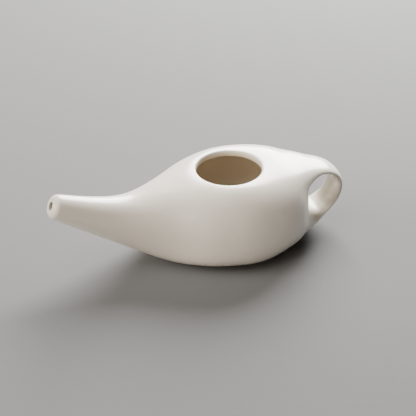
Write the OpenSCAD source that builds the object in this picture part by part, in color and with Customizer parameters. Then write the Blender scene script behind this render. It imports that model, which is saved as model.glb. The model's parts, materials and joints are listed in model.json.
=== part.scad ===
// Pouring pot for rinsing the nose, in glazed stoneware: a hollow bowl with a round
// mouth, a long horn spout, a looped strap handle and an unglazed flat foot. The four
// pieces are cast, luted together while leather hard and fired as one.
// Millimetres. The origin is on the table under the middle of the mouth. The spout
// points along -X, the handle along +X and the mouth opens along +Z.

/* [Bowl] */
// Width of the bowl at its belly
bowl_w = 88; // [81:1:95]
// Height of the crown, which the mouth cuts away
crown_z = 54; // [52:0.5:58]
// Height at which the belly is widest
belly_z = 14; // [11:0.5:18]
// Distance from the mouth to the widest place, towards the handle
belly_x = 4; // [1:0.5:7]
// Distance from the mouth to the breast, between the spout and the belly
breast_x = 22; // [18:0.5:26]
// Height of the top line at the breast
breast_top = 52; // [49:0.5:54]
// Width at the breast
breast_w = 74; // [67:1:81]
// Distance from the mouth to the flank, behind the belly
flank_x = 34; // [30:0.5:38]
// Height of the top line at the flank
flank_top = 52.5; // [50:0.5:54]
// Width at the flank
flank_w = 76.5; // [72:0.5:80]
// Distance from the mouth to the heel, near the back of the bowl
heel_x = 46; // [43:0.5:47]
// Height of the top line at the heel
heel_top = 50; // [47:0.5:52]
// Width that the heel would have if the bowl didn't close there
heel_w = 71.5; // [68:0.5:75]
// Distance from the mouth to the back of the bowl
back_x = 48.6; // [48:0.2:50.4]
// Thickness of the wall of the bowl
wall = 3.8; // [3:0.1:5]

/* [Mouth] */
// Diameter of the mouth
mouth_d = 41; // [34:0.5:44]
// Height of the lip, which lies level
lip_z = 52.4; // [51:0.1:54]
// Radius of the rounded edge of the lip
lip_r = 1.6; // [1:0.1:2.4]

/* [Spout] */
// Distance from the mouth to the tip of the spout
spout_reach = 113; // [104:1:120]
// Height of the middle of the tip
tip_z = 50; // [46:0.5:53]
// Diameter of the spout at its tip
tip_d = 14; // [12:0.2:17]
// Radius of the rounded edge of the tip
tip_r = 2.8; // [2:0.2:3.6]
// Diameter of the outlet
outlet_d = 5; // [4:0.2:6]
// Distance from the mouth to the middle of the spout
mid_x = 86; // [81:1:91]
// Height of the middle line there
mid_z = 37.2; // [34:0.5:40]
// Diameter of the spout there
mid_d = 22.4; // [20:0.2:25]
// Distance from the mouth to the root of the spout
root_x = 66; // [61:1:71]
// Height of the middle line at the root
root_z = 29.2; // [27:0.5:32]
// Diameter of the spout at its root
root_d = 31.4; // [28:0.2:35]
// Distance from the mouth to the seam between the spout and the bowl
seam_x = 44; // [40:1:48]
// Height of the top line at the seam
seam_top = 48; // [45:0.5:50]
// Height of the bottom line at the seam
seam_bottom = 1.2; // [0:0.2:4]
// Width at the seam
seam_w = 47; // [42:1:54]

/* [Handle] */
// Distance from the mouth to the outside of the loop
loop_reach = 75.6; // [73:0.2:79]
// Height at which the loop reaches furthest
loop_z = 29.5; // [28:0.5:31]
// Width of the strap
strap_w = 19.4; // [17:0.2:22]
// Thickness of the strap
strap_t = 5.4; // [4.6:0.2:6.4]
// Distance from the mouth to the place where the strap leaves the bowl
saddle_x = 46.5; // [45:0.5:48]
// Height of the strap's middle line there
saddle_z = 40.8; // [40:0.2:41.6]
// Width of the strap there
saddle_w = 37; // [34:0.5:39]
// Thickness of the strap there
saddle_t = 19.6; // [18:0.2:21]
// Distance from the mouth to the crest, the level run above the finger hole
crest_x = 60.5; // [59:0.5:62]
// Height of the middle line at the crest
crest_z = 41.3; // [40.5:0.2:42.1]
// Height of the middle line where the loop turns down
shoulder_z = 37.3; // [36.7:0.2:38.1]
// Height of the middle line where the loop turns back towards the bowl
knee_z = 19.6; // [18.6:0.2:21]
// Distance from the mouth to the low run, under the finger hole
low_x = 62.4; // [61:0.2:64]
// Height of the middle line there
low_z = 13; // [12.4:0.2:14]
// Distance from the mouth to the place where the strap meets the bowl again
toe_x = 53.2; // [52:0.2:54.4]
// Height of the middle line there
toe_z = 7; // [6.4:0.2:8]
// Width of the strap there
toe_w = 28; // [25:0.5:31]
// Thickness of the strap there, with the fillet under the finger hole
toe_t = 9; // [8:0.2:10]
// Distance from the mouth to the flared end of the strap, inside the low corner of the bowl
flare_x = 39.2; // [38:0.2:41]
// Height of the middle line there
flare_z = 4.4; // [4.2:0.2:5.4]
// Width of the flared end
flare_w = 49; // [46:0.5:52]

/* [Foot] */
// Length of the foot
foot_l = 64; // [50:1:70]
// Width of the foot
foot_w = 40; // [30:1:46]
// Height of the foot
foot_h = 1.2; // [0.8:0.1:2]

/* [Hidden] */
glaze = "#f2efe9";
bisque = "#d9cdbb";
// Points round a section, and rings along each piece
round_n = 48;
bowl_rings = 26;
spout_rings = 18;
edge_rings = 4;
strap_n = 24;
strap_rings = 36;
foot_n = 96;
// Fullness of the sections: 2 is an ellipse, and more is squarer
ellipse = 2;
crown_fullness = 3.2;
belly_fullness = 2.8;
// Length over which the bowl closes at its back, and how full it stays from above and in height
close_l = 30;
plan_fullness = 2.5;
back_fullness = 4.2;
// Width of the zone round the mouth that eases into the level lip
rim_ease = 9;

// Lines of the pot from the tip of the spout to the back: place and value
top_line = [[-spout_reach, tip_z + tip_d / 2], [-mid_x, mid_z + mid_d / 2],
    [-root_x, root_z + root_d / 2], [-seam_x, seam_top], [-breast_x, breast_top],
    [belly_x, crown_z], [flank_x, flank_top], [heel_x, heel_top], [back_x, heel_top - 3]];
bottom_line = [[-spout_reach, tip_z - tip_d / 2], [-mid_x, mid_z - mid_d / 2],
    [-root_x, root_z - root_d / 2], [-seam_x, seam_bottom], [-breast_x, 0],
    [belly_x, 0], [flank_x, 0], [heel_x, 0], [back_x, 2]];
side_line = [[-spout_reach, tip_d / 2], [-mid_x, mid_d / 2], [-root_x, root_d / 2],
    [-seam_x, seam_w / 2], [-breast_x, breast_w / 2], [belly_x, bowl_w / 2],
    [flank_x, flank_w / 2], [heel_x, heel_w / 2], [back_x, heel_w / 2 - 3]];

// A smooth curve through the points of p, read at x
function slope_at(p, i) = let (a = p[max(i - 1, 0)], b = p[min(i + 1, len(p) - 1)])
    (b[1] - a[1]) / (b[0] - a[0]);
function span_of(p, x, i = 0) = i >= len(p) - 2 || x < p[i + 1][0] ? i : span_of(p, x, i + 1);
function curve(p, x) = let (i = span_of(p, x), h = p[i + 1][0] - p[i][0], t = (x - p[i][0]) / h)
    (2 * pow(t, 3) - 3 * pow(t, 2) + 1) * p[i][1] + (pow(t, 3) - 2 * pow(t, 2) + t) * h * slope_at(p, i)
    + (3 * pow(t, 2) - 2 * pow(t, 3)) * p[i + 1][1] + (pow(t, 3) - pow(t, 2)) * h * slope_at(p, i + 1);
// Rises smoothly from 0 at a to 1 at b
function ease(a, b, x) = let (t = min(max((x - a) / (b - a), 0), 1)) t * t * (3 - 2 * t);
function mix(a, b, t) = a + (b - a) * t;
function bulge(v, n) = sign(v) * pow(abs(v), 2 / n);

// How much of the bowl's fuller section there is at x
function bowl_share(x) = ease(-mid_x, -breast_x, x) * (1 - ease(belly_x, back_x + 2, x));
// Angle by which a section leans, so that the tip is square to the axis of the spout
tip_lean = atan((tip_z - mid_z) / (spout_reach - mid_x));
function lean(x) = tip_lean * (1 - ease(-mid_x - 10, -seam_x, x));
// How far a section has closed at the back of the bowl
function closing(x, end, n) = pow(max(0, 1 - pow(max(0, x - end + close_l) / close_l, n)), 1 / n);
// Height at a point of the crown, level round the mouth
function rimmed(x, y, z, t) = z < lip_z * 0.8 ? z
    : mix(lip_z - t, z, ease(mouth_d / 2 + lip_r, mouth_d / 2 + lip_r + rim_ease, norm([x, y])));

// The ring of the skin at x, set in by t
function ring_at(x, t = 0, end = back_x) =
    let (share = bowl_share(x), wide = closing(x, end, plan_fullness), high = closing(x, end, back_fullness),
        tilt = lean(x), full_share = share + (1 - share) * 0.5 * ease(-seam_x, belly_x, x),
        top = curve(top_line, x), bottom = max(curve(bottom_line, x), 0), side = curve(side_line, x) - t,
        mid = mix((top + bottom) / 2, bottom + (top - bottom) * belly_z / crown_z, share),
        up = mix(ellipse, crown_fullness, full_share), down = mix(ellipse, belly_fullness, share))
    [for (k = [0 : round_n - 1]) let (a = 360 * k / round_n, s = sin(a), n = s > 0 ? up : down,
        reach = s > 0 ? top - t - mid : mid - bottom - t,
        v = high * reach * bulge(s, n), y = wide * side * bulge(cos(a), n))
        [x + v * sin(tilt), y, max(rimmed(x, y, mid + v * cos(tilt), t), foot_h + t)]];

// A skin over rings, with flat ends, or joined end to end as a tube with a wall
module skin(rings, ends = true) {
    n = len(rings[0]);
    m = len(rings);
    last = ends ? m - 2 : m - 1;
    sides = [for (i = [0 : last], k = [0 : n - 1])
        let (j = (i + 1) % m, a = i * n + k, b = i * n + (k + 1) % n, c = j * n + (k + 1) % n, d = j * n + k)
        each [[a, b, c], [a, c, d]]];
    caps = ends ? [[for (k = [n - 1 : -1 : 0]) k], [for (k = [0 : n - 1]) (m - 1) * n + k]] : [];
    polyhedron([for (r = rings) each r], concat(sides, caps), convexity = 8);
}

// The bowl from the seam to its back, as rings set in by t
function bowl_rings_at(t) = let (end = back_x - t) [for (i = [0 : bowl_rings])
    ring_at(mix(-seam_x, end - 0.02, 1 - pow(1 - i / bowl_rings, 1.7)), t, end)];

// The outside of the bowl, solid
module bowl_form() {
    rings = bowl_rings_at(0);
    skin([for (i = [bowl_rings : -1 : 0]) rings[i]]);
}
// What the mouth cuts away, with the rounded edge of the lip
module mouth_cut() {
    above = 4;
    depth = 3 * wall;
    rotate_extrude($fn = 64) difference() {
        translate([0, lip_z - depth]) square([mouth_d / 2 + lip_r, depth + above]);
        translate([mouth_d / 2, lip_z - depth - 1]) square([lip_r + 1, depth + 1 - lip_r]);
        translate([mouth_d / 2 + lip_r, lip_z - lip_r]) circle(lip_r, $fn = 32);
    }
}
module bowl() {
    outer = bowl_rings_at(0);
    color(glaze) difference() {
        skin(concat([for (i = [bowl_rings : -1 : 0]) outer[i]], bowl_rings_at(wall)));
        mouth_cut();
    }
}

// Thickness of the spout's wall at x
function spout_wall(x) = mix((tip_d - outlet_d) / 2, wall, ease(-spout_reach, -root_x, x));
module spout() {
    places = [for (i = [1 : spout_rings]) mix(-spout_reach + tip_r, -seam_x, i / spout_rings)];
    edge = [for (i = [0 : edge_rings]) let (a = 90 * i / edge_rings)
        ring_at(-spout_reach + tip_r * (1 - cos(a)), tip_r * (1 - sin(a)))];
    outer = concat(edge, [for (x = places) ring_at(x)]);
    inner = [for (x = concat([-spout_reach], places)) ring_at(x, spout_wall(x))];
    color(glaze) skin(concat([for (i = [len(outer) - 1 : -1 : 0]) outer[i]], inner), false);
}

// Stations along the strap from the upper root to the lower: distance, height, half width,
// and how far the outside and the inside of the strap lie from the middle line
loop_x = loop_reach - strap_t / 2;
root_depth = 7.5;
strap = [[saddle_x - root_depth, saddle_z, saddle_w / 2 + 1.5, saddle_t / 2 + 1.2, saddle_t / 2],
    [saddle_x, saddle_z, saddle_w / 2, saddle_t / 2, saddle_t / 2],
    [mix(saddle_x, crest_x, 0.5), saddle_z + 0.6, mix(saddle_w, strap_w, 0.5) / 2, strap_t, strap_t * 0.8],
    [crest_x, crest_z, strap_w / 2 + 1.3, strap_t * 0.6, strap_t * 0.48],
    [loop_x - 4.2, shoulder_z, strap_w / 2 + 0.2, strap_t * 0.54, strap_t * 0.46],
    [loop_x, loop_z, strap_w / 2, strap_t / 2, strap_t / 2],
    [loop_x - 3, knee_z, strap_w / 2, strap_t * 0.54, strap_t * 0.4],
    [low_x, low_z, strap_w / 2 + 1.2, strap_t * 0.56, strap_t * 0.42],
    [toe_x, toe_z, toe_w / 2, toe_t * 0.45, toe_t * 0.55],
    [flare_x, flare_z, flare_w / 2, toe_t / 3, toe_t * 1.4]];
function strap_value(c, u) = curve([for (i = [0 : len(strap) - 1]) [i, strap[i][c]]], u);
function strap_ring(u) = let (e = 0.01, run = [strap_value(0, u + e) - strap_value(0, u - e),
    strap_value(1, u + e) - strap_value(1, u - e)], d = run / norm(run))
    [for (k = [0 : strap_n - 1]) let (a = 360 * k / strap_n, v = strap_value(sin(a) > 0 ? 3 : 4, u) * sin(a))
        [strap_value(0, u) - d[1] * v, strap_value(2, u) * cos(a), strap_value(1, u) + d[0] * v]];
module handle() {
    reach = len(strap) - 1;
    color(glaze) difference() {
        skin([for (i = [strap_rings : -1 : 0]) strap_ring(mix(0.02, reach - 0.02, i / strap_rings))]);
        bowl_form();
    }
}

// The low oval pad, bare clay, which the pot stands on
module foot() {
    color(bisque) linear_extrude(foot_h) polygon([for (i = [0 : foot_n - 1])
        let (a = 360 * i / foot_n) [foot_l / 2 * cos(a), foot_w / 2 * sin(a)]]);
}

bowl();
spout();
handle();
foot();
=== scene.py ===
# %% [markdown]
# # A ceramic neti pot
# This is the pot that is used for rinsing the nose: a low hollow bowl with a round mouth,
# a long horn spout and a strap handle, all under one white glaze, on a bare clay foot.
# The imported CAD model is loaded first. It says how large each part is and where it stands,
# and everything that is made below is laid on it.

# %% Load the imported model
import json
import math
import bmesh
import bpy
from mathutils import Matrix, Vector

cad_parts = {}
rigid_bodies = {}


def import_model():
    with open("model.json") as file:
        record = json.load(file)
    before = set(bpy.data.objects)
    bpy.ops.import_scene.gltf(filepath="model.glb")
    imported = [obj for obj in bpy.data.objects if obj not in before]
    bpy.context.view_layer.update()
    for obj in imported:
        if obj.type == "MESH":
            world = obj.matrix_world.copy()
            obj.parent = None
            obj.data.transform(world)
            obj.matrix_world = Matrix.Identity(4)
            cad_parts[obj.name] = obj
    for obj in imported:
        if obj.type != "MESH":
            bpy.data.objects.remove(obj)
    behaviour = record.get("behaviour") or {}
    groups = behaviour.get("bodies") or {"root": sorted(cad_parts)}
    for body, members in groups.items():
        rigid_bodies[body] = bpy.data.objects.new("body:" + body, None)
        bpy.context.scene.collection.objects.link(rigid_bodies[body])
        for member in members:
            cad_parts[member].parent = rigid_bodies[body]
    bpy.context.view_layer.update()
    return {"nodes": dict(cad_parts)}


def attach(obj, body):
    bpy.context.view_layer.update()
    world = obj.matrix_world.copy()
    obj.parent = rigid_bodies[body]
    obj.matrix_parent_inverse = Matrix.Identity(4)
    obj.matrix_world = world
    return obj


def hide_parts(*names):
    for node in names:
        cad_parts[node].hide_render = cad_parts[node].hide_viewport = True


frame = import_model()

# %% [markdown]
# Blender works in metres and a potter in millimetres, so one constant turns the one into
# the other. The sizes follow the CAD model. The origin is on the table under the middle of
# the mouth, the spout points along -X and the handle along +X. The first stretch of the
# spout, from its tip to STRAIGHT_X, is straight and leans back with the tip.

# %% Sizes
MM = 0.001
WALL = 3.8
MOUTH_RADIUS = 20.5
LIP_HEIGHT = 52.4
LIP_ROUND = 1.6
TIP_X, TIP_HEIGHT, TIP_LEAN = -113.0, 50, 25.4
TIP_RADIUS = 6.7
STRAIGHT_X = -96
SEAM_X = -44.0
BACK_X = 48.6
FINGER_HOLE = (61, 28)
FOOT_HEIGHT = 1.2
FOOT_HALF_SIDES = (32, 20)
print("tip to seam", SEAM_X - TIP_X, "mm, seam to the back of the bowl", BACK_X - SEAM_X, "mm")

# %% [markdown]
# Most steps pick some points, edges or faces of a mesh and then call an operator on them.
# By hand that is a click or a box selection. In a script the same choice is made by place:
# the helper clears the selection, looks at the middle of each element and keeps those that
# pass a test.

# %% Helpers that select and edit
def only(piece=None):
    """Leave edit mode and select one object, or nothing."""
    if bpy.context.object and bpy.context.object.mode != "OBJECT":
        bpy.ops.object.mode_set(mode="OBJECT")
    bpy.ops.object.select_all(action="DESELECT")
    if piece:
        piece.select_set(True)
        bpy.context.view_layer.objects.active = piece


def edit(piece):
    """Enter edit mode, where points can be selected."""
    only(piece)
    bpy.ops.object.mode_set(mode="EDIT")
    bpy.ops.mesh.select_mode(type="VERT")


def pick(piece, kind, test):
    """In edit mode, select what passes the test on the element and its middle in millimetres."""
    bpy.ops.mesh.select_mode(type=kind)
    bpy.ops.mesh.select_all(action="DESELECT")
    mesh = bmesh.from_edit_mesh(piece.data)
    count = 0
    for item in {"VERT": mesh.verts, "EDGE": mesh.edges, "FACE": mesh.faces}[kind]:
        points = [item] if kind == "VERT" else item.verts
        middle = sum((v.co for v in points), Vector()) / len(points)
        if test(item, middle / MM):
            item.select = True
            count += 1
    mesh.select_flush_mode()
    bmesh.update_edit_mesh(piece.data)
    return count


def face_outwards():
    """Turn every face of the piece in edit mode outwards."""
    bpy.ops.mesh.select_all(action="SELECT")
    bpy.ops.mesh.normals_make_consistent(inside=False)


def modify(piece, kind, **settings):
    """Add a modifier to the piece and apply it."""
    only(piece)
    modifier = piece.modifiers.new(kind.lower(), kind)
    for name, value in settings.items():
        setattr(modifier, name, value)
    bpy.ops.object.modifier_apply(modifier=modifier.name)


# %% [markdown]
# The pot's form is told by three lines along its length: the top, the bottom and the side.
# A smooth curve through a few points gives each of them at any place, as a thrower's rib
# follows a few marks on a template.

# %% The three lines of the pot
def curve(points, x):
    """A smooth curve through the points, read at x."""
    points = sorted(points)
    i = 0
    while i < len(points) - 2 and x >= points[i + 1][0]:
        i += 1

    def slope(k):
        a, b = points[max(k - 1, 0)], points[min(k + 1, len(points) - 1)]
        return (b[1] - a[1]) / (b[0] - a[0])

    h = points[i + 1][0] - points[i][0]
    t = (x - points[i][0]) / h
    return ((2 * t**3 - 3 * t**2 + 1) * points[i][1] + (t**3 - 2 * t**2 + t) * h * slope(i)
            + (3 * t**2 - 2 * t**3) * points[i + 1][1] + (t**3 - t**2) * h * slope(i + 1))


TOP_LINE = [(-113, 57), (-86, 48.4), (-66, 44.9), (-44, 48), (-22, 52), (4, 54),
            (34, 52.5), (46, 50), (48.6, 47)]
BOTTOM_LINE = [(-113, 43), (-86, 26), (-66, 13.5), (-44, 1.2), (-22, 0), (4, 0),
               (34, 0), (46, 0), (48.6, 2)]
SIDE_LINE = [(-113, 7), (-86, 11.2), (-66, 15.7), (-44, 23.5), (-22, 37), (4, 44),
             (34, 38.2), (46, 35.8), (48.6, 32.8)]
print("top, bottom and side at the belly:",
      [round(curve(line, 4), 1) for line in (TOP_LINE, BOTTOM_LINE, SIDE_LINE)])

# %% [markdown]
# The real bowl is egg-shaped and runs on into the spout. It isn't round anywhere but at its
# mouth and its tip, so it can't be spun as on a wheel. It is drawn ring by ring instead,
# with few points, and one subdivision rounds them all off in the end. The lines are read at
# a row of stations, and each station tells where its ring stands, how wide and high it is
# and how far it leans. The rings are a little too large on purpose, because they are pulled
# in to the CAD model later on. At its back the bowl closes quickly, and more squarely in
# height than in width.

# %% Stations of the bowl and the spout
RING_X = [-113, -109.5, -104, -96, -87, -78, -69, -60, -52, -44, -36, -28,
          -21, -14, -7, 0, 7, 14, 21, 28, 34, 39, 43.4, 46.6, 48.1]


def closing(x, fullness, length=30):
    """How far the bowl has closed at its back: 1 before it starts and 0 at the end."""
    u = max(0, (x - BACK_X + length) / length)
    return max(0, 1 - u**fullness) ** (1 / fullness)


def lean(x):
    """How far a ring of the spout leans back, in degrees, so that the tip is square to it."""
    t = min(max((x - STRAIGHT_X) / (SEAM_X - STRAIGHT_X), 0), 1)
    return TIP_LEAN * (1 - t * t * (3 - 2 * t))


def pot_station(x):
    """Place and height of the ring's middle, half its width, half its height and its lean."""
    top, bottom = curve(TOP_LINE, x), max(curve(BOTTOM_LINE, x), 0)
    slack = 1.04 if x < -60 else 1.12 if x < 41 else 1.06
    half_y = curve(SIDE_LINE, x) * closing(x, 2.5) * slack
    half_z = (top - bottom) / 2 * closing(x, 4.2) * slack
    return x, (top + bottom) / 2, half_y, half_z, lean(x)


POT_STATIONS = [pot_station(x) for x in RING_X]
print("widest ring:", round(2 * max(station[2] for station in POT_STATIONS), 1), "mm")

# %% [markdown]
# A ring of 32 points stands at the tip of the spout. Each extrusion carries it on to the
# next station, where it is set upright, stretched to its new width and height and leaned
# again. The handle's strap will be drawn in the same way.

# %% Rings from the tip of the spout to the back of the bowl
def start_ring(name, points, radius, x, z):
    """A new piece: one upright ring of points, all selected in edit mode."""
    only()
    bpy.ops.mesh.primitive_circle_add(vertices=points, radius=radius * MM, fill_type="NOTHING",
                                      location=(x * MM, 0, z * MM), rotation=(0, math.pi / 2, 0))
    piece = bpy.context.object
    piece.name = name
    bpy.ops.object.transform_apply(location=True, rotation=True, scale=True)
    edit(piece)
    bpy.ops.mesh.select_all(action="SELECT")
    return piece


def stretch(wider, higher, x, z):
    bpy.ops.transform.resize(value=(1, wider, higher), center_override=(x * MM, 0, z * MM))


def turn(degrees, x, z):
    """Lean the selected ring towards the handle, about the Y axis through x and z."""
    bpy.ops.transform.rotate(value=math.radians(-degrees), orient_axis="Y",
                             center_override=(x * MM, 0, z * MM))


def carry_on(old, new):
    """Extrude the selected ring from its station to the next one."""
    x, z, half_y, half_z, tilt = new
    shift = ((x - old[0]) * MM, 0, (z - old[1]) * MM)
    bpy.ops.mesh.extrude_region_move(TRANSFORM_OT_translate={"value": shift})
    turn(-old[4], x, z)
    stretch(half_y / old[2], half_z / old[3], x, z)
    turn(tilt, x, z)


skin = start_ring("glazed_skin", 32, TIP_RADIUS, TIP_X, TIP_HEIGHT)
turn(TIP_LEAN, TIP_X, TIP_HEIGHT)
for old, new in zip(POT_STATIONS, POT_STATIONS[1:]):
    carry_on(old, new)
only(skin)
print("rings:", len(RING_X), "points:", len(skin.data.vertices))

# %% [markdown]
# The last ring is still open at the back of the bowl. A grid of faces closes it without a
# pole, which would show as a star in the gloss. The mouth could be cut by a Boolean with a
# cylinder, but that leaves small crooked faces round the edge. So the faces inside the
# mouth are deleted, and the edge that is left is spread evenly on a circle at the height of
# the lip.

# %% Close the back and open the mouth
def from_middle(m):
    """Distance from the upright line through the middle of the mouth."""
    return math.hypot(m.x, m.y)


def even_circle(piece, radius, height):
    """Spread the selected points evenly on a level circle, in the order that they stand in."""
    mesh = bmesh.from_edit_mesh(piece.data)
    loop = sorted((v for v in mesh.verts if v.select), key=lambda v: math.atan2(v.co.y, v.co.x))
    start = math.atan2(loop[0].co.y, loop[0].co.x)
    for i, v in enumerate(loop):
        angle = start + 2 * math.pi * i / len(loop)
        v.co = Vector((radius * math.cos(angle), radius * math.sin(angle), height)) * MM
    bmesh.update_edit_mesh(piece.data)


edit(skin)
pick(skin, "EDGE", lambda e, m: e.is_boundary and m.x > 40)
bpy.ops.mesh.fill_grid(span=8, offset=4)
gone = pick(skin, "FACE", lambda f, m: m.z > 40 and from_middle(m) < 19.8)
bpy.ops.mesh.delete(type="FACE")
edge = pick(skin, "EDGE", lambda e, m: e.is_boundary and m.x > -40)
even_circle(skin, MOUTH_RADIUS, LIP_HEIGHT)
print("faces cut out for the mouth:", gone, "edges round it:", edge)

# %% [markdown]
# Now the cage is laid on the CAD model. A Shrinkwrap pulls every point to the nearest place
# on it, so that the few large faces of the cage lie on its surface. Points of the spout go
# to the spout and points of the bowl to the bowl, and the two round edges at the mouth and
# at the tip keep their places. The cage swells a little before each Shrinkwrap, because the
# wall is thin and a point that starts inside it could be drawn to its inner face. Smoothing
# between the rounds spreads the points evenly.

# %% Lay the cage on the CAD model
TIP = Vector((TIP_X, 0, TIP_HEIGHT))
TIP_AXIS = Vector((-math.cos(math.radians(TIP_LEAN)), 0, math.sin(math.radians(TIP_LEAN))))


def at_tip(m):
    """The ring of points at the end of the spout."""
    return m.x < TIP_X + 4 and abs((m - TIP).dot(TIP_AXIS)) < 0.1


def at_mouth(m):
    """The ring of points round the mouth."""
    return abs(from_middle(m) - MOUTH_RADIUS) < 0.1 and m.z > 50


def group(piece, name, test):
    """A vertex group of the points that pass the test."""
    members = [v.index for v in piece.data.vertices if test(v.co / MM)]
    piece.vertex_groups.new(name=name).add(members, 1, "REPLACE")
    return len(members)


SWELL = 2.5


def lay_on_cad(piece):
    """Swell the cage clear of the wall, and pull it back in to the CAD model's outside."""
    edit(piece)
    face_outwards()
    pick(piece, "VERT", lambda v, m: not at_tip(m) and not at_mouth(m))
    bpy.ops.transform.shrink_fatten(value=SWELL * MM)
    for name in ("spout", "bowl"):
        modify(piece, "SHRINKWRAP", target=frame["nodes"][name],
               wrap_method="NEAREST_SURFACEPOINT", vertex_group="on_" + name)


only(skin)
counts = [group(skin, "on_spout", lambda m: m.x < SEAM_X - 2 and not at_tip(m)),
          group(skin, "on_bowl", lambda m: m.x >= SEAM_X - 2 and not at_mouth(m))]
lay_on_cad(skin)
for _ in range(3):
    edit(skin)
    pick(skin, "VERT", lambda v, m: m.x > SEAM_X + 4 and not at_mouth(m))
    bpy.ops.mesh.vertices_smooth(factor=0.5, repeat=2)
    lay_on_cad(skin)
print("points laid on the spout and on the bowl:", counts)

# %% [markdown]
# A cast wall is equally thick everywhere, because the clay settles evenly in its mould. The
# Solidify modifier makes just such a wall, on the inside, and gives the faces in there a
# slot of their own. A subdivided surface lies a little inside its cage, so the cage is
# grown by a quarter of a millimetre first. At the tip the passage is narrowed, because the
# outlet is smaller than the wall leaves it.

# %% Give the clay its thickness
OUTSIDE, INSIDE, ON_STRAP = range(3)
for slot_name in ("outside", "inside", "strap"):
    skin.data.materials.append(bpy.data.materials.new(slot_name))
edit(skin)
face_outwards()
pick(skin, "VERT", lambda v, m: not at_tip(m) and not at_mouth(m) and m.z > FOOT_HEIGHT + 0.1)
bpy.ops.transform.shrink_fatten(value=0.25 * MM)
modify(skin, "SOLIDIFY", thickness=WALL * MM, offset=-1, use_even_offset=True,
       use_quality_normals=True, material_offset=INSIDE)


def near_tip(m, inner, outer, depth=0.4):
    """Near the flat end of the spout, between two distances from the spout's own axis."""
    along = (m - TIP).dot(TIP_AXIS)
    return abs(along) < depth and inner < ((m - TIP) - along * TIP_AXIS).length < outer


NARROWER = 2.3 / 3.2
edit(skin)
hole = pick(skin, "VERT", lambda v, m: near_tip(m, 2, 4.5, 1.5))
bpy.ops.transform.resize(value=(NARROWER,) * 3, center_override=TIP * MM)
print("points round the outlet:", hole, "faces:", len(skin.data.polygons))

# %% [markdown]
# Potters don't leave an edge sharp, because glaze runs off it. The lip is rolled on top and
# keeps a narrow edge below, the tip is well rounded, and the outlet has a small chamfer.

# %% Round the lip, the tip and the outlet
def round_off(piece, test, offset, segments):
    """Bevel the edges that pass the test."""
    count = pick(piece, "EDGE", test)
    bpy.ops.mesh.bevel(offset=offset * MM, segments=segments, affect="EDGES")
    return count


def round_mouth(e, m, height, reach):
    """Level edges of the mouth near a height."""
    level = abs(e.verts[0].co.z - e.verts[1].co.z) < 1 * MM
    return level and abs(m.z - height) < 0.6 and abs(from_middle(m) - MOUTH_RADIUS) < reach


def round_tip(e, inner, outer, depth):
    """Edges that run round the spout near its end."""
    return all(near_tip(v.co / MM, inner, outer, depth) for v in e.verts)


edit(skin)
counts = [round_off(skin, lambda e, m: round_mouth(e, m, LIP_HEIGHT, 0.6), LIP_ROUND, 3),
          round_off(skin, lambda e, m: round_mouth(e, m, LIP_HEIGHT - WALL, 0.8), 0.4, 2),
          round_off(skin, lambda e, m: round_tip(e, TIP_RADIUS - 0.1, 7, 0.4), 2.7, 4),
          round_off(skin, lambda e, m: round_tip(e, 1.8, 3.4, 1), 0.7, 2)]
print("edges rounded at the lip, under it, at the tip and at the outlet:", counts)

# %% [markdown]
# The end of the spout is a low dome, so that it seals softly. A proportional edit makes it:
# the points round the outlet move out along the spout, and the points nearby follow them
# less and less. The first stretch of the passage keeps the outer glaze, without the painted
# shade of the inside.

# %% Dome the tip
def drawing_along(reach):
    """Settings with which a transform draws the points nearby along, up to the reach."""
    return {"use_proportional_edit": reach > 0, "use_proportional_connected": True,
            "proportional_edit_falloff": "SMOOTH", "proportional_size": max(reach, 1) * MM}


DOME = 0.7
domed = pick(skin, "VERT", lambda v, m: near_tip(m, 1.5, 3.3, 1.2))
bpy.ops.transform.translate(value=TIP_AXIS * DOME * MM, **drawing_along(4.5))
kept_outer_glaze = pick(skin, "FACE", lambda f, m: f.material_index == INSIDE and m.x < STRAIGHT_X)
skin.active_material_index = OUTSIDE
bpy.ops.object.material_slot_assign()
print("points pushed out:", domed, "faces of the passage that keep the outer glaze:", kept_outer_glaze)

# %% [markdown]
# The handle is a pulled strap: out of the back of the bowl, down round the finger hole and
# back in near the foot. A curve with a round bevel would do for a wire handle, but this one
# changes its width and thickness on the way, so it gets stations as the pot did. Each row
# of the table gives a place and a height on the middle line of the CAD's strap, half the
# width, and how far the strap reaches outwards and inwards from the line. The stations of
# its rings are read between the rows.

# %% Stations of the strap
STRAP_LINE = [(46.5, 40.8, 18.5, 9.8, 9.8),
              (53.5, 41.4, 14.1, 5.4, 4.3),
              (60.5, 41.3, 11, 3.2, 2.6),
              (68.7, 37.3, 9.9, 2.9, 2.5),
              (72.9, 29.5, 9.7, 2.7, 2.7),
              (69.9, 19.6, 9.7, 2.9, 2.2),
              (62.4, 13, 10.9, 3.0, 2.3),
              (53.2, 7, 14, 4.1, 5),
              (39.2, 4.4, 24.5, 3, 12.6)]
STRAP_ROWS = (0.85, 1.4, 2.0, 2.6, 3.1, 3.5, 3.9, 4.35, 4.8, 5.3, 5.8, 6.3, 6.8, 7.3)
STRAP_SLACK = 1.02


def strap_at(row):
    return [curve(list(enumerate(column)), row) for column in zip(*STRAP_LINE)]


def strap_station(row):
    """Place and height of the ring's middle, half its width, half its thickness and its lean."""
    x, z, half_y, outer, inner = strap_at(row)
    ahead, behind = strap_at(row + 0.05), strap_at(row - 0.05)
    run = math.atan2(ahead[1] - behind[1], ahead[0] - behind[0])
    if run > 1:
        run -= 2 * math.pi
    shift = (outer - inner) / 2
    return (x - math.sin(run) * shift, z + math.cos(run) * shift, half_y * STRAP_SLACK,
            (outer + inner) / 2 * STRAP_SLACK, -math.degrees(run))


STRAP_STATIONS = [strap_station(row) for row in STRAP_ROWS]
print("strap leans from", round(STRAP_STATIONS[0][4]), "to", round(STRAP_STATIONS[-1][4]),
      "degrees over", len(STRAP_STATIONS), "rings")

# %% [markdown]
# The strap is drawn as the pot was. Its ring has 24 points, starts inside the bowl and ends
# inside it, so that both ends can be joined to the skin.

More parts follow.
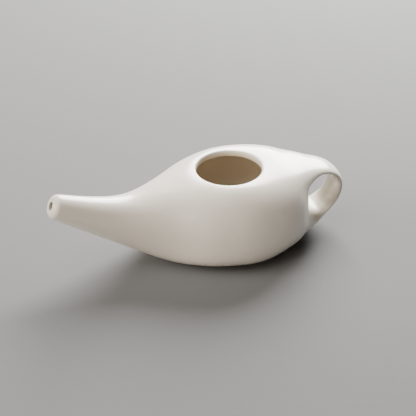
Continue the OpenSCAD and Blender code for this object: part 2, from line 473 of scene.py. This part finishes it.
# %% Pull the strap
x, z, half_y, half_z, tilt = STRAP_STATIONS[0]
strap = start_ring("strap", 24, 1, x, z)
stretch(half_y, half_z, x, z)
turn(tilt, x, z)
for old, new in zip(STRAP_STATIONS, STRAP_STATIONS[1:]):
    carry_on(old, new)
only(strap)
strap.data.materials.append(bpy.data.materials["strap"])
print("points of the strap:", len(strap.data.vertices))

# %% [markdown]
# On the real pot the clay of the strap and of the bowl has become one. A strap that was
# only pushed into the bowl would show a hard line all round, so two patches of the bowl's
# skin make way for its ends. Each has 24 edges round it, as many as the strap has points,
# so that a bridge can join the two. One ring of points across each bridge is there for the
# smoothing that follows.

# %% Join the strap to the bowl
BACK_MIDDLE = 24.9


def in_patch(m):
    """Faces that make way for the strap, above and below the middle of the bowl's back."""
    spread = math.degrees(math.atan2(abs(m.y), abs(m.z - BACK_MIDDLE)))
    return spread < 57.5 and m.x > 40 and (m.z > 34 or m.z < 15.4)


edit(skin)
cut = pick(skin, "FACE", lambda f, m: f.material_index == OUTSIDE and in_patch(m))
bpy.ops.mesh.delete(type="FACE")
only(skin)
strap.select_set(True)
bpy.ops.object.join()
skin.active_material_index = ON_STRAP
for upper in (True, False):
    edit(skin)
    rims = pick(skin, "EDGE", lambda e, m: e.is_boundary and m.x > 36 and (m.z > 26) == upper)
    bpy.ops.mesh.bridge_edge_loops(number_cuts=1, interpolation="LINEAR")
    bpy.ops.object.material_slot_assign()
    print("upper" if upper else "lower", "end: edges bridged", rims)
face_outwards()
print("faces cut out at the back:", cut)

# %% [markdown]
# A potter smooths the seams of a handle with a thumb. The CAD model thickens the strap's
# lower end, but has none of these soft fillets, so they are made here. The bridges are
# smoothed first, and then the rims where they meet the bowl.

# %% Smooth the bridges
def slots_at(v):
    """Slots of the faces that meet at a point."""
    return {f.material_index for f in v.link_faces}


def is_strap(v):
    return slots_at(v) == {ON_STRAP}


soft = pick(skin, "VERT", lambda v, m: is_strap(v) and m.x < 50.5)
bpy.ops.mesh.vertices_smooth(factor=0.5, repeat=3)
rim = pick(skin, "VERT", lambda v, m: m.x > 38 and slots_at(v) == {OUTSIDE, ON_STRAP})
bpy.ops.mesh.vertices_smooth(factor=0.5, repeat=1)
print("points smoothed on the bridges:", soft, "and on their rims:", rim)

# %% [markdown]
# The thumb goes on working. Each row of the table says whether the points lie on the strap,
# on the bowl or on either, and between which places on X, to the side and in height. They
# are spread in width and moved, and most pushes draw the points nearby along. The corner
# under the strap is filled, the bowl's toe is flared, and the saddle where the strap leaves
# the crown is raised. At the end the corner is smoothed once more.

# %% Push the fillets into shape
ANY = (-999, 999)
PUSHES = [("strap's inner face", True, (53, 55.5), ANY, (9, 12.5), 1, (0.6, 0, 1.4), 0),
          ("strap's last ring", True, (49.4, 51.4), ANY, (8.5, 13.5), 1, (1.2, 0, 2.4), 0),
          ("bridge", True, (46.5, 49.2), ANY, (9, 14.2), 1, (0.6, 0, 3.0), 0),
          ("rim", False, (43, 999), ANY, (12, 16.5), 1, (0, 0, 3.5), 8),
          ("flare", None, (38, 42), (17, 999), (-999, 12), 1.05, (1.2, 0, -1.3), 17),
          ("saddle", None, (38, 47), (12, 18), (44, 999), 1.03, (0.2, 0, 0.8), 12)]


def between(value, limits):
    return limits[0] < value < limits[1]


for name, on_strap, along, aside, up, wider, move, reach in PUSHES:
    moved = pick(skin, "VERT", lambda v, m: INSIDE not in slots_at(v)
                 and (on_strap is None or is_strap(v) == on_strap)
                 and between(m.x, along) and between(abs(m.y), aside) and between(m.z, up))
    pull = drawing_along(reach)
    bpy.ops.transform.resize(value=(1, wider, 1), center_override=(0, 0, 0), **pull)
    bpy.ops.transform.translate(value=Vector(move) * MM, **pull)
    print(name, "moved:", moved, "points")
corner = pick(skin, "VERT", lambda v, m: is_strap(v) and 46 < m.x < 57 and 9 < m.z < 20)
bpy.ops.mesh.vertices_smooth(factor=0.5, repeat=4)
print("corner points smoothed:", corner)

# %% [markdown]
# Subdivision Surface rounds the whole cage off at once. Spout, bowl and handle flow into
# each other without a line, which pieces that are rounded one by one wouldn't do.

# %% Subdivide the body
modify(skin, "SUBSURF", levels=2, render_levels=2)
bpy.ops.object.shade_smooth()
for name, end in (("lowest", min), ("highest", max)):
    corner = [end(v.co[i] for v in skin.data.vertices) / MM for i in range(3)]
    print(name, "corner of the glazed body:", [round(v, 2) for v in corner])
print("faces:", len(skin.data.polygons))

# %% [markdown]
# The pot is one body to the eye, but the CAD model keeps its spout, bowl and handle apart, as
# the potter made them. A copy of the whole body is kept for later, and the body is cut at
# the seams.

# %% Cut the body into spout, bowl and handle
whole = skin.copy()
whole.data = skin.data.copy()
bpy.context.collection.objects.link(whole)


def take_out(name, test):
    """Separate the faces that pass the test into a piece of its own."""
    edit(skin)
    count = pick(skin, "FACE", test)
    bpy.ops.mesh.separate(type="SELECTED")
    only(skin)
    piece = [o for o in bpy.data.objects if o.name.startswith(skin.name + ".") and o != whole][0]
    piece.name = name
    print(name, "has", count, "faces")
    return piece


spout = take_out("spout_horn", lambda f, m: m.x < SEAM_X)
handle = take_out("strap_handle", lambda f, m: f.material_index == ON_STRAP)
bowl = skin
bowl.name = "bowl_body"
print("bowl_body keeps", len(bowl.data.polygons), "faces")

# %% [markdown]
# Each cut face is closed, so that every piece is solid clay. At the spout a bridge joins
# the outer edge to the inner one, because the water runs through, and at the handle a face
# fills the cut. A piece would shade its seam by its own faces alone, so the whole body
# lends all three its normals, and the glaze runs across the seams unbroken.

# %% Close the cuts and lend the normals
for piece in (spout, bowl):
    edit(piece)
    pick(piece, "EDGE", lambda e, m: e.is_boundary and m.x < SEAM_X + 1)
    bpy.ops.mesh.bridge_edge_loops()
    bpy.ops.mesh.region_to_loop()
    bpy.ops.mesh.mark_sharp()
for piece in (bowl, handle):
    for upper in (True, False):
        edit(piece)
        pick(piece, "EDGE", lambda e, m: e.is_boundary and m.x > 30 and (m.z > 26) == upper)
        bpy.ops.mesh.mark_sharp()
        bpy.ops.mesh.edge_face_add()
for piece in (spout, bowl, handle):
    edit(piece)
    face_outwards()
    modify(piece, "DATA_TRANSFER", object=whole, use_loop_data=True,
           data_types_loops={"CUSTOM_NORMAL"}, loop_mapping="POLYINTERP_NEAREST")
bpy.data.objects.remove(whole)
print("faces after closing:", [len(piece.data.polygons) for piece in (spout, bowl, handle)])

# %% [markdown]
# The pot stands on a low oval pad, wiped free of glaze before the firing, or it would stick
# to the kiln's shelf. A disc is stretched to the oval, raised to its height and bevelled
# below, where the sponge has worn it round. Two insets keep its large faces well shaped.

# %% Model the foot
only()
bpy.ops.mesh.primitive_circle_add(vertices=64, radius=MM, fill_type="NGON", location=(0, 0, 0))
foot = bpy.context.object
foot.name = "foot_pad"
edit(foot)
bpy.ops.mesh.select_all(action="SELECT")
bpy.ops.transform.resize(value=(*FOOT_HALF_SIDES, 1), center_override=(0, 0, 0))
bpy.ops.mesh.extrude_region_move(TRANSFORM_OT_translate={"value": (0, 0, FOOT_HEIGHT * MM)})
round_off(foot, lambda e, m: m.z < 0.1 and m.length > 15, 0.5, 3)
pick(foot, "FACE", lambda f, m: len(f.verts) > 32)
for _ in range(2):
    bpy.ops.mesh.inset(thickness=4 * MM)
face_outwards()
only(foot)
bpy.ops.object.shade_smooth_by_angle(angle=math.radians(35))
print("foot:", len(foot.data.polygons), "faces")

# %% [markdown]
# A picture of glaze would be stretched somewhere on a form like this, so the materials are
# worked out from the place of each point. They are built from nodes. Sockets are wrapped,
# so that a pattern can be written as a sum or a product, and every other node is made by
# one method that takes its type, its settings and its inputs.

# %% A small kit for shader nodes
class Value:
    """One output socket that adds and multiplies like a number."""

    def __init__(self, graph, socket):
        self.graph, self.socket = graph, socket

    def maths(self, operation, *others):
        inputs = dict(enumerate((self,) + others))
        return self.graph.node("Math", {"operation": operation}, inputs).out()

    def __add__(self, other):
        return self.maths("ADD", other)

    def __mul__(self, other):
        return self.maths("MULTIPLY", other)

    def __sub__(self, other):
        return self.maths("SUBTRACT", other)

    def __rsub__(self, other):
        return self.maths("MULTIPLY_ADD", -1, other)

    __radd__ = __add__
    __rmul__ = __mul__


class Node:
    def __init__(self, graph, node):
        self.graph, self.node = graph, node

    def out(self, name=0):
        return Value(self.graph, self.node.outputs[name])


class Graph:
    """The node tree of one material, with its Principled shader."""

    def __init__(self, name):
        self.material = bpy.data.materials.new(name)
        self.material.use_nodes = True
        self.tree = self.material.node_tree
        self.shader = self.tree.nodes["Principled BSDF"]
        self.place = self.node("TexCoord").out("Object")

    def node(self, kind, settings=None, inputs=None):
        node = self.tree.nodes.new("ShaderNode" + kind)
        for name, value in (settings or {}).items():
            setattr(node, name, value)
        self.feed(node, inputs or {})
        return Node(self, node)

    def feed(self, node, inputs):
        for name, value in inputs.items():
            if isinstance(value, Value):
                self.tree.links.new(value.socket, node.inputs[name])
            else:
                node.inputs[name].default_value = value

    def noise(self, size, detail=2, roughness=0.5):
        """Cloudy noise about its middle value 0.5, with blotches of a size in millimetres."""
        return self.node("TexNoise", None, {"Vector": self.place, "Scale": 1000 / size,
                                            "Detail": detail, "Roughness": roughness}).out("Fac")

    def ramp(self, value, low, high):
        """0 below low, 1 above high, and smooth between."""
        return self.node("MapRange", {"interpolation_type": "SMOOTHSTEP"},
                         {"Value": value, "From Min": low, "From Max": high}).out("Result")

    def blend(self, share, first, second):
        """Mix two colours by a share."""
        first, second = (c if isinstance(c, Value) else (*c, 1) for c in (first, second))
        return self.node("Mix", {"data_type": "RGBA"}, {0: share, 6: first, 7: second}).out(2)

    def bump(self, height, distance, strength=1.0):
        return self.node("Bump", None, {"Height": height, "Distance": distance * MM,
                                        "Strength": strength}).out()

    def dress(self, inputs):
        self.feed(self.shader, inputs)
        return self.material


# %% [markdown]
# The glaze is a warm white with a soft shine. Under strong light it shows faint clouds
# where it lies thicker, a surface that isn't quite even, and a few pinholes. Inside the pot
# it gets a darker, warmer tone, which is painted shade, and the wall of the mouth fades from
# the one to the other.
# The inner side of the handle's loop gets painted shade, a darker tone, because it is
# darker in the photograph than light alone makes it here.

# %% Glazes
# Colour of the painted shade on the inner side of the handle's loop.
LOOP_PAINTED_SHADE = (0.43, 0.385, 0.32)


def glaze(name, light, dark, pinhole, painted_inner_shade):
    """Glaze with clouds and pinholes, and painted shade: warmer in the mouth, darker in the loop.
    """
    g = Graph(name)
    clouds = g.ramp(g.noise(26, 3), 0.35, 0.65)
    fine = g.noise(1.6, 2)
    cells = g.node("TexVoronoi", None, {"Vector": g.place, "Scale": 140, "Randomness": 1.0})
    smooth = g.ramp(cells.out("Distance"), 0.035, 0.06)
    colour = g.blend(clouds * 0.6 + fine * 0.15, light, dark)
    colour = g.blend((1 - smooth) * 0.35, colour, pinhole)

    parts = g.node("SeparateXYZ", None, {0: g.place})
    x, y, z = (parts.out(i) for i in range(3))
    across, up = x - FINGER_HOLE[0] * MM, z - FINGER_HOLE[1] * MM
    from_hole = (across * across + up * up).maths("SQRT")
    # Painted shade on the inner side of the handle's loop, round the finger hole.
    colour = g.blend(1 - g.ramp(from_hole, 11 * MM, 14 * MM), colour, LOOP_PAINTED_SHADE)
    # Painted shade: the wall of the mouth fades to the warmer, darker tone of the inside.
    from_mouth = (x * x + y * y).maths("SQRT")
    in_mouth = 1 - g.ramp(from_mouth, (MOUTH_RADIUS + 0.3) * MM, (MOUTH_RADIUS + 1.2) * MM)
    below_lip = 1 - g.ramp(z, (LIP_HEIGHT - 3) * MM, LIP_HEIGHT * MM)
    colour = g.blend(in_mouth * below_lip, colour, painted_inner_shade)

    ripple = g.noise(22, 1) * 0.4 + g.noise(4, 1) * 0.02 + smooth * 0.04
    return g.dress({"Base Color": colour, "Roughness": 0.24 + clouds * 0.06 + fine * 0.05,
                    "Normal": g.bump(ripple, 0.5, 0.35), "IOR": 1.5,
                    "Coat Weight": 0.35, "Coat Roughness": 0.16})


white = glaze("white_glaze", light=(0.87, 0.81, 0.71), dark=(0.84, 0.77, 0.66),
              pinhole=(0.62, 0.55, 0.45), painted_inner_shade=(0.80, 0.68, 0.51))
# The inside of the pot is dressed darker and warmer than the outside: painted shade.
inner = glaze("inner_glaze", light=(0.67, 0.585, 0.455), dark=(0.63, 0.54, 0.415),
              pinhole=(0.44, 0.36, 0.27), painted_inner_shade=(0.68, 0.58, 0.44))
print("nodes in a glaze:", len(white.node_tree.nodes))

# %% [markdown]
# The foot is bare clay, matt and grainy, with blotches from the fire. The floor is covered
# with pale matt paper, which has a faint grain and hardly shines.

# %% Clay and paper
g = Graph("bare_clay")
grain, blotch = g.noise(0.5, 3, 0.7), g.noise(9, 3)
tone = g.blend(blotch * 0.7 + grain * 0.3, (0.62, 0.52, 0.40), (0.74, 0.65, 0.53))
clay = g.dress({"Base Color": tone, "Roughness": 0.78 + grain * 0.15,
                "Normal": g.bump(grain, 0.15, 0.6)})

g = Graph("table_paper")
grain = g.noise(2.2, 3, 0.6)
tone = g.blend(grain, (0.165, 0.165, 0.166), (0.185, 0.185, 0.185))
paper = g.dress({"Base Color": tone, "Roughness": 0.85 + grain * 0.1,
                 "Specular IOR Level": 0.15})


def dress(piece, *materials):
    """Give the piece its materials, in the order of its slots."""
    while len(piece.data.materials) < len(materials):
        piece.data.materials.append(None)
    for slot, material in enumerate(materials):
        piece.data.materials[slot] = material


for piece in (spout, bowl, handle):
    dress(piece, white, inner, white)
dress(foot, clay)
print("materials:", [m.name for m in (white, inner, clay, paper)])

# %% [markdown]
# The pieces take the places of the CAD nodes. The pot has no moving parts, so everything
# rides on its one body.

# %% Hand the pieces over to the frame
for piece, node, slot in ((spout, "spout", "glaze"), (bowl, "bowl", "glaze"),
                          (handle, "handle", "glaze"), (foot, "foot", "bisque")):
    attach(piece, "root")
    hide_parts(node)
    print(piece.name, "stands for", node)

# %% [markdown]
# The pot stands on a plain pale floor. A large soft window behind it and to its right makes
# the crown and the strap bright. A light on the ceiling and a wide, warm one at the left in
# front let the belly turn slowly into shade, and a card at the far left lights the tip.

# %% Floor and light
bpy.ops.mesh.primitive_plane_add(size=4, location=(0, 0, 0))
floor = bpy.context.object
floor.name = "floor"
dress(floor, paper)

POT_MIDDLE = (0, 0, 0.03)
LIGHTS = [("window", (0.5, 0.7, 0.53), POT_MIDDLE, 0.8, 54, (1.0, 0.99, 0.97)),
          ("ceiling", (-0.5, -0.15, 1.05), POT_MIDDLE, 1.2, 9, (1.0, 0.95, 0.89)),
          ("front_fill", (-1.2, -0.5, 0.42), POT_MIDDLE, 1.3, 12, (1.0, 0.9, 0.78)),
          ("side_card", (-1.0, 0.22, 0.42), (-0.1, 0, 0.05), 0.5, 7, (1.0, 0.96, 0.9))]
for name, place, target, size, power, colour in LIGHTS:
    bpy.ops.object.light_add(type="AREA", location=place)
    light = bpy.context.object
    light.name = name
    light.data.shape, light.data.size = "DISK", size
    light.data.energy, light.data.color = power, colour
    light.rotation_euler = (Vector(place) - Vector(target)).to_track_quat("Z", "Y").to_euler()

world = bpy.context.scene.world or bpy.data.worlds.new("World")
bpy.context.scene.world = world
world.use_nodes = True
sky = world.node_tree.nodes["Background"]
sky.inputs["Color"].default_value = (1.0, 0.97, 0.93, 1)
sky.inputs["Strength"].default_value = 0.03
print("lights:", [row[0] for row in LIGHTS])

# %% [markdown]
# The camera stands where the photograph was taken: in front, a little to the left and
# above, with a long lens.

# %% Camera
AZIMUTH, ELEVATION, DISTANCE = math.radians(-20.9), math.radians(32.4), 0.927
AIM = Vector((-13.5, 0, 26)) * MM
back = Vector((math.sin(AZIMUTH) * math.cos(ELEVATION), -math.cos(AZIMUTH) * math.cos(ELEVATION),
               math.sin(ELEVATION)))
bpy.ops.object.camera_add(location=AIM + back * DISTANCE,
                          rotation=back.to_track_quat("Z", "Y").to_euler())
camera = bpy.context.object
camera.data.sensor_width, camera.data.lens = 36, 129.8
bpy.context.scene.camera = camera
print("camera at", [round(v, 3) for v in camera.location])
